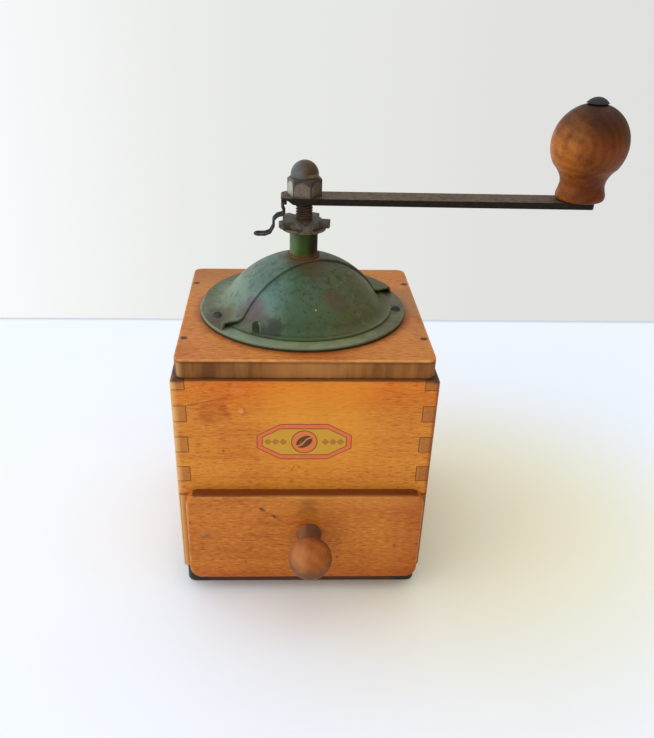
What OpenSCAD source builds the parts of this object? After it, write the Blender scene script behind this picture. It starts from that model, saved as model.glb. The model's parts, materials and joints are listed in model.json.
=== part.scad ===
// Manual coffee grinder: a finger-jointed wooden case with a drawer, a steel hopper dome with a
// turning shutter, and a crank that drives a toothed conical burr in a toothed ring.
// Millimetres. Origin: centre of the base board's underside. +X is the crank's side, -Y is the front.

/* [Case] */
// outer width of the case
case_w = 120; // [104:1:150]
// outer depth of the case
case_d = 120; // [104:1:150]
// height of the wall tops above the table
wall_top = 117; // [112:0.5:130]
// thickness of the four walls
wall_t = 6.5; // [5:0.5:8]
// height of one finger of the corner joints
finger_h = 8.1; // [7.6:0.1:8.4]
// height of the first, short finger under the wall tops
first_finger = 4.7; // [3:0.1:7]
// number of fingers at each front corner
front_fingers = 4; // [3:1:4]
// thickness of the base board
base_t = 11.5; // [9:0.5:13]
// how far the base board stands back from the walls
base_inset = 1.3; // [0.5:0.1:2]
// thickness of the top board
board_t = 9; // [7:0.5:12]
// how far the top board stands back from the walls
board_inset = 2; // [1:0.1:3]
// corner radius of the base and top boards
board_r = 4.5; // [3:0.5:7]
// head diameter of the nails in the top board
nail_head_d = 3.2; // [2.6:0.1:4]
// distance of the top nails from the middle, front to back
nail_y = 35; // [25:1:42]

/* [Drawer] */
// thickness of the drawer's lipped front
lip_t = 5.7; // [4:0.1:9]
// overlap of the lip on each side wall
lip_over_x = 3.6; // [1.5:0.1:4]
// sideways place of the lip's middle
lip_x = 0.9; // [-1:0.1:1]
// overlap of the lip on the front panel
lip_over_top = 3.4; // [2:0.1:6]
// overlap of the lip on the base board
lip_over_base = 3.3; // [1:0.1:4]
// corner radius of the lip
lip_r = 6; // [3:0.5:9]
// running gap behind the lip and under the drawer
lip_gap = 0.3; // [0.2:0.05:0.6]
// gap between the drawer and each side wall
drawer_gap = 0.7; // [0.4:0.1:1.2]
// thickness of the drawer's sides and back
drawer_t = 5; // [4:0.5:6]
// thickness of the block behind the lip
block_t = 8; // [6:0.5:10]
// thickness of the drawer's bottom
bottom_t = 3; // [2:0.5:4]
// diameter of the drawer knob's ball
ball_d = 20.4; // [16:0.2:24]
// diameter of the drawer knob's neck
ball_neck_d = 11.2; // [8:0.2:13]
// distance of the ball's centre from the drawer front
ball_reach = 19; // [15:0.5:22]
// sideways place of the drawer knob
ball_x = 3; // [-5:0.5:5]
// height of the drawer knob above the table
ball_z = 36.7; // [30:0.1:42]

/* [Hopper] */
// radius of the dome's flange
flange_r = 50.3; // [49:0.1:52]
// height of the flange above the top board
flange_h = 2; // [1.6:0.1:3]
// sheet thickness of dome, shutter and bowl
sheet = 0.8; // [0.6:0.1:1]
// outer radius of the dome's sphere
dome_r = 44.46; // [43.5:0.01:45.5]
// height of the dome's crown above the top board
dome_rise = 28; // [26:0.1:30]
// gap between the dome and the shutter under it
shutter_gap = 0.3; // [0.25:0.05:0.5]
// distance of the dome's straight edge from the neck
edge_past_neck = 1.2; // [1.1:0.1:3]
// direction the dome's straight edge faces
edge_az = -60; // [-70:1:-50]
// radius of the bowl's mouth
bowl_r = 37.5; // [34:0.5:38]

/* [Burr set] */
// height of the ring's underside above the table
ring_z = 72; // [70:0.5:74]
// height of the burr ring
ring_h = 18; // [16:0.5:20]
// outer radius of the burr ring
ring_r = 25.5; // [23:0.5:29]
// number of teeth on the ring and on the cone
teeth = 20; // [14:1:24]
// radial gap between the ring's and the cone's fine teeth
burr_gap = 0.7; // [0.5:0.05:1.2]

/* [Adjuster] */
// diameter of the neck tube
neck_d = 13.2; // [12:0.1:15]
// length of the neck above the dome's crown
neck_h = 12; // [9:0.5:16]
// diameter of the thrust washer
washer_d = 20.8; // [18:0.1:22]
// thickness of the thrust washer
washer_t = 1.2; // [0.8:0.1:2]
// thickness of the star nut
nut_h = 3.25; // [2.5:0.05:4]
// diameter of the star nut's round body
nut_d = 17; // [15:0.1:18]
// radius of the star nut's ears
ear_r = 12.3; // [11.5:0.1:12.5]
// width of one ear
ear_w = 4.6; // [3:0.1:6]
// gap between faces and bores that turn on one another
running = 0.05; // [0.03:0.01:0.1]

/* [Crank] */
// diameter of the shaft
shaft_d = 8; // [7.6:0.1:8.4]
// height of the arm's underside above the star nut
arm_rise = 8; // [7.5:0.1:10]
// width of the crank arm
arm_w = 13.6; // [11:0.1:16]
// thickness of the crank arm
arm_t = 2.9; // [2.4:0.1:4]
// distance from the shaft to the knob's axis
arm_len = 126.2; // [100:0.1:140]
// length of the arm beyond the knob's axis
arm_tip = 5.8; // [5:0.1:9]
// length of the arm's tail
arm_tail = 10.8; // [10.6:0.1:11.4]
// angle of the crank at rest
crank_az = -1.35; // [-3:0.05:3]
// width across flats of the cap nut
cap_af = 14; // [13:0.5:16]
// height of the cap nut's hexagon
cap_hex_h = 8.1; // [6:0.1:10]
// full height of the cap nut
cap_h = 15.4; // [13:0.1:18]
// largest radius of the crank knob
grip_r = 16.9; // [14:0.1:19]
// height of the crank knob
grip_h = 40.7; // [34:0.1:44]
// diameter of the rivet's head on the crank knob
rivet_d = 9.7; // [8:0.1:12]
// wire diameter of the nut lock
wire_d = 1.3; // [1.1:0.05:1.4]

/* [Hidden] */
$fn = 64;
// sliver that keeps two faces from lying on one another
tiny = 0.01;
// how far a cutting body runs past what it cuts
past = 1;
// width and depth of the screwdriver slots
slot_w = 0.7;
slot_d = 0.8;

// case
hw = case_w / 2;
hd = case_d / 2;
board_top = wall_top + board_t;
panel_bottom = wall_top - first_finger - (2 * front_fingers - 1) * finger_h;
back_fingers = floor((wall_top - first_finger - base_t) / (2 * finger_h));
nail_edge = 4.8;
nail_x = hw - nail_edge;
nail_d = 1.8;
nail_head_h = 1;
nail_bite = 14;
base_screw_edge = 4.2;
base_screw_y = 40;
base_screw_d = 2.4;
base_screw_head_d = 4.4;
base_screw_head_h = 2;
base_screw_bite = 14;
rail_s = 6;

// drawer
open_hw = hw - wall_t;
drawer_hw = open_hw - drawer_gap;
drawer_in = drawer_hw - drawer_t;
drawer_z0 = base_t + lip_gap;
drawer_z1 = panel_bottom - 2 * lip_gap;
drawer_back_gap = 1.5;
drawer_y1 = hd - wall_t - drawer_back_gap;
groove_z = 2;
lip_back = -hd - lip_gap;
lip_face = lip_back - lip_t;
lip_hw = open_hw + lip_over_x;
lip_z0 = base_t - lip_over_base;
lip_z1 = panel_bottom + lip_over_top;
pin_d = 1.6;
pin_len = 13;
pin_edge = 10;
knob_screw_d = 3.6;
knob_screw_head_d = 7.2;
knob_screw_head_h = 1.8;
knob_screw_short = 2;
// foot and cove of the drawer knob
ball_foot = 0.5;
ball_foot_h = 1.4;
ball_cove_h = 1;
ball_cove_w = 1.6;

// hopper
zc = board_top + dome_rise - dome_r;
dome_in = dome_r - sheet;
shutter_out = dome_in - shutter_gap;
shutter_in = shutter_out - sheet;
crown_z = board_top + dome_rise;
flange_top = board_top + flange_h;
flange_bot = flange_top - sheet;
hem_z = flange_top + shutter_gap;
hem_top = hem_z + sheet;
hem_edge = 6.9;
hem_out = flange_r - hem_edge;
hem_in = cap_r(shutter_in, hem_z) + tiny;
// hollow curve between the shutter's shell and its hem
flare = 5;
flare_root = 0.2;
flare_bite = 0.03;
// hem of the dome, raised over the shutter's and sloped down to the flange
cover_air = 1.5;
cover_z = hem_top + cover_air;
cover_top = cover_z + sheet;
cover_in = cap_r(dome_in, cover_z) + tiny;
cover_rim = 0.9;
cover_out = flange_r - cover_rim;
cover_slope = 1.4;
cover_flat = cover_out - cover_slope;
cover_bend = 0.7;
cover_foot = 1;
cover_flare = flare - shutter_gap - sheet;
dome_edge = neck_d / 2 + edge_past_neck;
shutter_lap = 6;
shutter_air = 0.4;
shutter_eye = 5;
eye_depth = 6;
// screws of the dome, as [direction, height of the seat]
screw_spots = [[-6, flange_top], [82, cover_top], [208, cover_top]];
screw_edge = 4.3;
screw_r = flange_r - screw_edge;
screw_d = 2.8;
screw_head_d = 4.6;
screw_head_h = 1.6;
screw_bite = 8;
lug_az = 238;
lug_w = 4;
lug_t = 1.2;
lug_h = 6;
lug_in = 1.4;
bowl_rim = 48;
bowl_ledge = 5.5;
bowl_foot = ring_r - bowl_ledge;
bowl_air = 0.4;
board_hole = bowl_r + sheet + bowl_air;

// burr set
ring_top = ring_z + ring_h;
ring_wall = 7.5;
throat_r = ring_r - ring_wall;
fine_h = ring_h / 2;
fine_flare = 1.2;
fine_depth = 1.3;
fine_w = 1.4;
slant = 14;
mouth_flare = 2;
mouth_depth = 2;
mouth_w = 1.8;
step_h = 2;
flute_depth = 2.2;
flute_w = 2.4;
flute_in = 4;
cone_top_r = 7.5;
cone_drop = 1.5;
cone_z = ring_z - cone_drop;
cone_r = throat_r - burr_gap;
cone_nut_h = 5.3;
cone_nut_af = 14;
cone_pin_d = 2.5;
cone_pin_len = 14;
cone_pin_z = ring_top - 5;
ring_rivet_d = 2.4;
ring_rivet_head_d = 4;
ring_rivet_head_h = 1.2;
ring_rivet_edge = 2.3;
ring_rivet_bite = 7;
bridge_drop = 12;
bridge_z = ring_z - bridge_drop;
bridge_t = 4;
bridge_w = 10;
bridge_post = 5.2;
bridge_boss_r = 8;
bridge_screw_d = 3;
bridge_screw_head_d = 5.4;
bridge_screw_head_h = 1.8;
bridge_screw_edge = 2.9;
bridge_screw_bite = 8;

// adjuster and shaft
neck_top = crown_z + neck_h;
neck_foot_h = 6;
neck_foot = 2.6;
collar_w = 1.1;
collar_h = 0.5;
washer_z = neck_top + running;
washer_air = 0.3;
nut_z = washer_z + washer_t + running;
nut_top = nut_z + nut_h;
ears = 5;
ear_az = -10;
shaft_r = shaft_d / 2;
journal_r = 3.5;
journal_out = 1.4;
shoulder_air = 0.9;
square_w = 6.4;
stud_r = 3.1;
stud_h = 3;
stud_air = 0.5;

// crank
arm_z = nut_top + arm_rise;
arm_top = arm_z + arm_t;
tail_r = 4;
tip_r = 2;
tail_t = 1.1;
tail_from = 5;
tail_to = 7.6;
cap_az = -11;
cap_dome = 0.5;
cap_bevel = 0.1;
cap_slope = 1.55;
spindle_r = 3;
rivet_h = 2.4;
grip_air = 0.3;
grip_cz = grip_h - grip_r;
// foot and waist of the crank knob, as [radius, height]
grip_side = [[10.4, 0], [11.1, 0.9], [11, 2.5], [10.3, 5], [10, 7], [10.3, 9], [11.2, 11],
    [12.6, 13], [grip_r - 3, grip_cz - 9]];
knob_p = [arm_len * cos(crank_az), arm_len * sin(crank_az)];

// nut lock
eye_x = -9.4;
eye_drop = 2.86;
eye_z = arm_top - eye_drop;
eye_half = 1.3;
eye_w = 2.4;
leg_y = 2.1;
leg_r = wire_d / 2 - 0.05;
bend_r = 1.6;
bend_grow = 0.03;
rod_run = 0.12;
pivot_end = 0.7;
wire_low = nut_top - 6.9;
wire_tip = -23;
// run of the wire's legs from the eye to the tip, as [x, z]
wire_path = [[eye_x, eye_z], [eye_x - 0.9, eye_z - 1.6], [eye_x + 0.7, nut_top + 2.65],
    [-ear_r - 0.1, nut_top + 1.75], [-ear_r - 1.9, nut_top], [-ear_r - 1.9, nut_top - 3],
    [-ear_r - 3.5, nut_top - 5.95], [-ear_r - 6, wire_low], [wire_tip + leg_y, wire_low]];

// radius of a sphere about the dome's centre at height z
function cap_r(r, z) = sqrt(r * r - (z - zc) * (z - zc));

// box from corner a to corner b
module box(a, b) {
    translate(a) cube([b[0] - a[0], b[1] - a[1], b[2] - a[2]]);
}

// upright cylinder from z0 to z1
module post(x, y, z0, z1, r) {
    translate([x, y, z0]) cylinder(h = z1 - z0, r = r);
}

// round head of diameter d and height h, standing on z = 0
module round_head(d, h) {
    ball = (d * d / 4 + h * h) / (2 * h);
    intersection() {
        translate([0, 0, h - ball]) sphere(r = ball);
        cylinder(h = 2 * h, r = d);
    }
}

// screwdriver slot in a head of diameter d, from z up
module slot(d, z) {
    box([-d, -slot_w / 2, z], [d, slot_w / 2, z + slot_d + past]);
}

// profile of a spherical shell about the dome's centre, from height z up and open for the neck
module shell(out, in, z) {
    intersection() {
        difference() {
            translate([0, zc]) circle(r = out);
            translate([0, zc]) circle(r = in);
        }
        translate([neck_d / 2, z]) square([flange_r, dome_r]);
    }
}

// corner between a shell of radius r and a hem at height z, out to a hollow curve of radius f
module hollow(r, z, f) {
    cz = z + f;
    cr = cap_r(r + f, cz);
    share = r / (r + f);
    meet = [cr * share, zc + (cz - zc) * share];
    difference() {
        polygon([[cap_r(r, z) - flare_root, z - flare_root], [cr, z - flare_root], [cr, z], meet,
            meet - [flare_root, 0]]);
        translate([cr, cz]) circle(r = f + flare_bite);
    }
}

// everything in front of a plane at distance d from the axis, towards the open side of the dome
module front_half(d) {
    rotate([0, 0, edge_az]) box([d, -case_w, board_top], [case_w, case_w, neck_top]);
}

// rectangle with round corners about the middle
module round_rect(w, d, r) {
    square([w - 2 * r, d], center = true);
    square([w, d - 2 * r], center = true);
    for (sx = [-1, 1]) for (sy = [-1, 1])
        translate([sx * (w / 2 - r), sy * (d / 2 - r)]) circle(r = r);
}

// the corner fingers that belong to the front panel or the back panel
module fingers(count, sx, sy) {
    for (i = [0 : count - 1]) {
        z1 = wall_top - first_finger - 2 * i * finger_h;
        xa = sx > 0 ? open_hw : -hw;
        ya = sy > 0 ? hd - wall_t : -hd;
        box([xa, ya, z1 - finger_h], [xa + wall_t, ya + wall_t, z1]);
    }
}

module nail_places() {
    for (sx = [-1, 1]) for (sy = [-1, 1]) translate([sx * nail_x, sy * nail_y, 0]) children();
}

module base_screw_places() {
    for (sx = [-1, 1]) for (sy = [-1, 1])
        translate([sx * (hw - base_screw_edge), sy * base_screw_y, 0]) children();
}

// one nail of the top board, head flush with the board
module nail() {
    post(0, 0, board_top - nail_head_h, board_top, nail_head_d / 2);
    post(0, 0, wall_top - nail_bite, board_top - nail_head_h / 2, nail_d / 2);
}

// one countersunk screw of the base board
module base_screw() {
    cylinder(h = base_screw_head_h, r1 = base_screw_head_d / 2, r2 = base_screw_d / 2);
    post(0, 0, base_screw_head_h / 2, base_t + base_screw_bite, base_screw_d / 2);
}

module base_board() {
    color([0.10, 0.09, 0.08]) difference() {
        linear_extrude(height = base_t)
            round_rect(case_w - 2 * base_inset, case_d - 2 * base_inset, board_r);
        base_screw_places() base_screw();
    }
}

module base_screws() {
    color([0.45, 0.43, 0.40]) base_screw_places() difference() {
        base_screw();
        slot(base_screw_head_d, -past);
    }
}

module side(sx) {
    xa = sx > 0 ? open_hw : -hw;
    difference() {
        box([xa, -hd, base_t], [xa + wall_t, hd, wall_top]);
        fingers(front_fingers, sx, -1);
        fingers(back_fingers, sx, 1);
        nail_places() nail();
        base_screw_places() base_screw();
    }
}

module left_side() {
    color([0.78, 0.48, 0.24]) side(-1);
}

module right_side() {
    color([0.74, 0.44, 0.22]) side(1);
}

module front_panel() {
    color([0.76, 0.43, 0.20]) {
        box([-open_hw, -hd, panel_bottom], [open_hw, -hd + wall_t, wall_top]);
        for (sx = [-1, 1]) fingers(front_fingers, sx, -1);
    }
}

module back_panel() {
    color([0.74, 0.44, 0.22]) {
        box([-open_hw, hd - wall_t, base_t], [open_hw, hd, wall_top]);
        for (sx = [-1, 1]) fingers(back_fingers, sx, 1);
    }
}

module top_board() {
    color([0.78, 0.50, 0.30]) difference() {
        translate([0, 0, wall_top]) linear_extrude(height = board_t) difference() {
            round_rect(case_w - 2 * board_inset, case_d - 2 * board_inset, board_r);
            circle(r = board_hole);
        }
        nail_places() nail();
        dome_screw_shanks();
    }
}

module top_nails() {
    color([0.36, 0.24, 0.17]) nail_places() nail();
}

module drawer_rails() {
    color([0.70, 0.48, 0.28]) for (sx = [-1, 1]) {
        xa = sx > 0 ? open_hw - rail_s : -open_hw;
        box([xa, -hd + wall_t, panel_bottom], [xa + rail_s, hd - wall_t, panel_bottom + rail_s]);
    }
}

// shanks of the screws through the dome and its flange
module dome_screw_shanks() {
    for (s = screw_spots) rotate([0, 0, s[0]])
        post(screw_r, 0, board_top - screw_bite, s[1] + screw_head_h / 4, screw_d / 2);
}

// flat ring that the dome stands on and the shutter's hem slides over
module dome_flange() {
    color([0.25, 0.34, 0.29]) difference() {
        rotate_extrude() {
            translate([hem_in, flange_bot]) square([flange_r - hem_in, sheet]);
            translate([flange_r - sheet, board_top]) square([sheet, flange_h]);
        }
        dome_screw_shanks();
    }
}

// the fixed half of the dome
module hopper_dome() {
    color([0.22, 0.33, 0.27]) difference() {
        rotate_extrude() difference() {
            union() {
                shell(dome_r, dome_in, cover_z);
                polygon([[cover_in, cover_z], [cover_flat - cover_bend, cover_z],
                    [cover_out - cover_foot, flange_top], [cover_out, flange_top],
                    [cover_flat, cover_top], [cover_in, cover_top]]);
                hollow(dome_r, cover_top, cover_flare);
            }
            hollow(dome_in, cover_z, cover_flare + sheet);
        }
        front_half(dome_edge);
        dome_screw_shanks();
    }
}

module neck_tube() {
    color([0.20, 0.33, 0.26]) difference() {
        union() {
            post(0, 0, crown_z - neck_foot_h, neck_top, neck_d / 2);
            intersection() {
                post(0, 0, crown_z - neck_foot_h, crown_z, neck_d / 2 + neck_foot);
                translate([0, 0, zc]) sphere(r = shutter_in - shutter_gap);
            }
            difference() {
                post(0, 0, crown_z - collar_w, crown_z + collar_h, neck_d / 2 + collar_w);
                translate([0, 0, zc]) sphere(r = dome_r);
            }
        }
        post(0, 0, crown_z - neck_foot_h - past, neck_top + past, shaft_r + running);
    }
}

module dome_screws() {
    color([0.30, 0.31, 0.29]) {
        dome_screw_shanks();
        for (s = screw_spots) rotate([0, 0, s[0]]) translate([screw_r, 0, s[1]]) difference() {
            round_head(screw_head_d, screw_head_h);
            slot(screw_head_d, screw_head_h - slot_d);
        }
    }
}

// funnel between the dome and the burr ring
module hopper_bowl() {
    color([0.45, 0.44, 0.41]) difference() {
        rotate_extrude() polygon([[bowl_r + sheet / 2, board_top], [bowl_rim, board_top],
            [bowl_rim, board_top + sheet], [bowl_r, board_top + sheet],
            [bowl_foot, ring_top + sheet], [bowl_foot, ring_top], [ring_r, ring_top],
            [ring_r, ring_top + sheet], [bowl_foot + sheet, ring_top + sheet]]);
        dome_screw_shanks();
        rivet_places() ring_rivet_shank();
    }
}

module rivet_places() {
    for (k = [0 : 2]) rotate([0, 0, 30 + 120 * k])
        translate([ring_r - ring_rivet_edge, 0, 0]) children();
}

module ring_rivet_shank() {
    post(0, 0, ring_top - ring_rivet_bite, ring_top + sheet + ring_rivet_head_h / 2, ring_rivet_d / 2);
}

// one slanted V groove between two teeth, cut along the line from p to q in the r-z plane
module groove(p, q, depth, width, skew, out) {
    len = sqrt((q[0] - p[0]) * (q[0] - p[0]) + (q[1] - p[1]) * (q[1] - p[1]));
    lean = atan2(q[0] - p[0], q[1] - p[1]);
    translate([(p[0] + q[0]) / 2, 0, (p[1] + q[1]) / 2]) rotate([skew, 0, 0]) rotate([0, lean, 0])
        linear_extrude(height = len * 1.3, center = true)
            polygon([[-out * 1.2, -width], [-out * 1.2, width], [out * depth, 0]]);
}

// fixed burr: coarse breaking teeth in the mouth, fine teeth below the throat
module burr_ring() {
    color([0.33, 0.33, 0.34]) difference() {
        rotate_extrude() polygon([[throat_r, ring_z + fine_h], [throat_r + fine_flare, ring_z],
            [ring_r, ring_z], [ring_r, ring_top], [throat_r + mouth_flare, ring_top]]);
        for (i = [0 : teeth - 1]) rotate([0, 0, i * 360 / teeth])
            groove([throat_r + fine_flare, ring_z], [throat_r, ring_z + fine_h],
                fine_depth, fine_w, slant, 1);
        for (i = [0 : teeth / 2 - 1]) rotate([0, 0, i * 720 / teeth])
            groove([throat_r, ring_z + fine_h + step_h], [throat_r + mouth_flare, ring_top + step_h],
                mouth_depth, mouth_w, -slant, 1);
        rivet_places() ring_rivet_shank();
        bridge_screw_places() bridge_screw_shank();
    }
}

module ring_rivets() {
    color([0.55, 0.53, 0.50]) rivet_places() {
        ring_rivet_shank();
        translate([0, 0, ring_top + sheet]) round_head(ring_rivet_head_d, ring_rivet_head_h);
    }
}

module bridge_screw_places() {
    for (sx = [-1, 1]) translate([sx * (ring_r - bridge_screw_edge), 0, 0]) children();
}

module bridge_screw_shank() {
    post(0, 0, bridge_z - bridge_screw_head_h / 2, ring_z + bridge_screw_bite, bridge_screw_d / 2);
}

// yoke under the ring that carries the shaft's lower journal
module bearing_bridge() {
    color([0.38, 0.37, 0.36]) difference() {
        union() {
            box([-ring_r, -bridge_w / 2, bridge_z], [ring_r, bridge_w / 2, bridge_z + bridge_t]);
            post(0, 0, bridge_z, bridge_z + bridge_t, bridge_boss_r);
            for (sx = [-1, 1]) {
                xa = sx > 0 ? ring_r - bridge_post : -ring_r;
                box([xa, -bridge_w / 2, bridge_z], [xa + bridge_post, bridge_w / 2, ring_z]);
            }
        }
        post(0, 0, bridge_z - past, bridge_z + bridge_t + past, journal_r + running);
        bridge_screw_places() bridge_screw_shank();
    }
}

module bridge_screws() {
    color([0.55, 0.53, 0.50]) bridge_screw_places() difference() {
        union() {
            post(0, 0, bridge_z - bridge_screw_head_h, bridge_z, bridge_screw_head_d / 2);
            bridge_screw_shank();
        }
        slot(bridge_screw_head_d, bridge_z - bridge_screw_head_h - past);
    }
}

// front half of the dome, which turns about the neck under the fixed half, with its hem and lug
module shutter() {
    color([0.25, 0.37, 0.31]) {
        difference() {
            intersection() {
                rotate_extrude() {
                    shell(shutter_out, shutter_in, hem_z);
                    translate([hem_in, hem_z]) square([hem_out - hem_in, sheet]);
                    hollow(shutter_out, hem_top, flare);
                }
                union() {
                    front_half(dome_edge - shutter_lap);
                    post(0, 0, crown_z - eye_depth, neck_top, neck_d / 2 + shutter_eye);
                }
            }
            post(0, 0, board_top, neck_top + past, neck_d / 2 + shutter_air);
        }
        rotate([0, 0, lug_az]) translate([hem_out - lug_in, 0, hem_z]) rotate([0, -90, 0])
            linear_extrude(height = lug_t) {
                translate([0, -lug_w / 2]) square([lug_h - lug_w / 2, lug_w]);
                translate([lug_h - lug_w / 2, 0]) circle(r = lug_w / 2);
            }
    }
}

module thrust_washer() {
    color([0.24, 0.21, 0.19]) difference() {
        post(0, 0, washer_z, washer_z + washer_t, washer_d / 2);
        post(0, 0, washer_z - past, nut_z, shaft_r + washer_air);
    }
}

// star nut that lifts the shaft to set the grind
module adjusting_nut() {
    color([0.28, 0.20, 0.15]) difference() {
        translate([0, 0, nut_z]) linear_extrude(height = nut_h) {
            circle(r = nut_d / 2);
            intersection() {
                circle(r = ear_r);
                for (k = [0 : ears - 1]) rotate(ear_az + k * 360 / ears) translate([0, -ear_w / 2])
                    square([2 * ear_r, ear_w]);
            }
        }
        post(0, 0, nut_z - past, nut_top + past, shaft_r + running);
    }
}

// shaft: lower journal, threaded shank, square for the arm and stud for the cap nut
module shaft() {
    color([0.30, 0.28, 0.27]) difference() {
        union() {
            post(0, 0, bridge_z - journal_out, cone_z, journal_r);
            post(0, 0, bridge_z + bridge_t + shoulder_air, arm_z, shaft_r);
            intersection() {
                post(0, 0, arm_z - past, arm_top, shaft_r);
                arm_square(arm_z - past, arm_top);
            }
            post(0, 0, arm_top - past, arm_top + cap_hex_h + stud_h, stud_r);
        }
        cross_pin(2 * ring_r);
    }
}

// square of the shaft that drives the arm
module arm_square(z0, z1) {
    w = square_w / 2;
    rotate([0, 0, crank_az]) box([-w, -w, z0], [w, w, z1]);
}

// pin through the cone and the shaft, or its bore
module cross_pin(len) {
    translate([-len / 2, 0, cone_pin_z]) rotate([0, 90, 0]) cylinder(h = len, r = cone_pin_d / 2);
}

// turning burr: breaking flutes above, fine teeth on the skirt
module burr_cone() {
    color([0.35, 0.35, 0.36]) difference() {
        rotate_extrude() polygon([[shaft_r, cone_z], [cone_r + fine_flare, cone_z],
            [cone_r + fine_flare, ring_z], [cone_r, ring_z + fine_h],
            [cone_r - flute_in, ring_z + fine_h + step_h], [cone_top_r, ring_top],
            [shaft_r, ring_top]]);
        for (i = [0 : teeth - 1]) rotate([0, 0, (i + 0.5) * 360 / teeth])
            groove([cone_r + fine_flare, cone_z], [cone_r, ring_z + fine_h],
                fine_depth, fine_w, -slant, -1);
        for (i = [0 : teeth / 4 - 1]) rotate([0, 0, (4 * i + 0.5) * 360 / teeth])
            groove([cone_r - flute_in, ring_z + fine_h + step_h], [cone_top_r, ring_top],
                flute_depth, flute_w, slant, -1);
        cross_pin(2 * ring_r);
    }
}

module cone_nut() {
    color([0.50, 0.48, 0.46]) difference() {
        post_hex(cone_z - cone_nut_h, cone_z, cone_nut_af);
        post(0, 0, cone_z - cone_nut_h - past, cone_z + past, shaft_r);
    }
}

// hexagonal prism about the axis, af across its flats
module post_hex(z0, z1, af) {
    translate([0, 0, z0]) cylinder(h = z1 - z0, r = af / 2 / cos(30), $fn = 6);
}

module cone_pin() {
    color([0.60, 0.58, 0.55]) cross_pin(cone_pin_len);
}

// flat crank arm with a thinned tail and an eye for the nut lock
module crank_arm() {
    color([0.20, 0.17, 0.15]) difference() {
        union() {
            rotate([0, 0, crank_az]) translate([0, 0, arm_z]) difference() {
                linear_extrude(height = arm_t) {
                    far = arm_len + arm_tip;
                    half = arm_w / 2;
                    translate([-arm_tail + tail_r, -half])
                        square([far - tip_r + arm_tail - tail_r, arm_w]);
                    translate([-arm_tail, -half + tail_r]) square([arm_tail, arm_w - 2 * tail_r]);
                    translate([0, -half + tip_r]) square([far, arm_w - 2 * tip_r]);
                    for (sy = [-1, 1]) {
                        translate([-arm_tail + tail_r, sy * (half - tail_r)]) circle(r = tail_r);
                        translate([far - tip_r, sy * (half - tip_r)]) circle(r = tip_r);
                    }
                }
                translate([0, arm_w, 0]) rotate([90, 0, 0]) linear_extrude(height = 2 * arm_w)
                    polygon([[-tail_from, -tiny], [-tail_to, arm_t - tail_t],
                        [-2 * arm_tail, arm_t - tail_t], [-2 * arm_tail, -tiny]]);
            }
            box([eye_x - eye_half, -eye_w / 2, eye_z - eye_half],
                [eye_x + eye_half, eye_w / 2, arm_top - tail_t / 2]);
        }
        arm_square(arm_z - past, arm_top + past);
        translate([eye_x, arm_w, eye_z]) rotate([90, 0, 0])
            cylinder(h = 2 * arm_w, r = wire_d / 2 + running);
        translate([knob_p[0], knob_p[1], arm_z - past]) cylinder(h = arm_t + 2 * past, r = spindle_r);
    }
}

// domed cap nut on the crank
module cap_nut() {
    cr = cap_af / 2 - cap_dome;
    bevel_r = cap_af / 2 - cap_bevel;
    color([0.28, 0.27, 0.26]) difference() {
        union() {
            intersection() {
                rotate([0, 0, cap_az]) post_hex(arm_top, arm_top + cap_hex_h, cap_af);
                translate([0, 0, arm_top])
                    cylinder(h = cap_hex_h, r1 = bevel_r + cap_slope * cap_hex_h, r2 = bevel_r);
            }
            translate([0, 0, arm_top]) rotate_extrude() intersection() {
                translate([0, cap_h - cr]) circle(r = cr);
                translate([0, cap_hex_h - past]) square([cr, cap_h]);
            }
        }
        post(0, 0, arm_top - past, arm_top + cap_hex_h + stud_h + stud_air, stud_r);
    }
}

// rivet that the crank knob turns on
module knob_spindle() {
    color([0.10, 0.11, 0.13]) translate([knob_p[0], knob_p[1], 0]) {
        post(0, 0, arm_z, arm_top + grip_h + 2 * grip_air, spindle_r);
        translate([0, 0, arm_top + grip_h + grip_air]) round_head(rivet_d, rivet_h);
    }
}

// turned wooden grip
module crank_knob() {
    color([0.42, 0.22, 0.12]) translate([knob_p[0], knob_p[1], arm_top + grip_air]) difference() {
        rotate_extrude() {
            intersection() {
                translate([0, grip_cz]) circle(r = grip_r);
                square([2 * grip_r, grip_h - grip_air]);
            }
            polygon(concat([[0, 0]], grip_side, [[0, grip_cz]]));
        }
        translate([0, 0, -past]) cylinder(h = grip_h + 2 * past, r = spindle_r + running);
    }
}

// straight piece of round wire in the plane y from p to q, both as [x, z], run a little into its bends
module rod(p, q, y) {
    d = q - p;
    translate([p[0], y, p[1]]) rotate([0, atan2(d[0], d[1]), 0]) translate([0, 0, -rod_run])
        cylinder(h = norm(d) + 2 * rod_run, r = leg_r);
}

// bend of round wire in the plane y from direction u to direction v about the corner c
module bend(c, u, v, y) {
    side = u[0] * v[1] - u[1] * v[0] > 0 ? 1 : -1;
    turn = acos(u[0] * v[0] + u[1] * v[1]);
    back = bend_r * tan(turn / 2);
    n = side * [-u[1], u[0]];
    mid = c - back * u + bend_r * n;
    from = side > 0 ? c - back * u - mid : c + back * v - mid;
    translate([mid[0], y, mid[1]]) rotate([90, 0, 0]) rotate([0, 0, atan2(from[1], from[0])])
        rotate_extrude(angle = turn) translate([bend_r, 0]) circle(r = leg_r + bend_grow);
}

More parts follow.
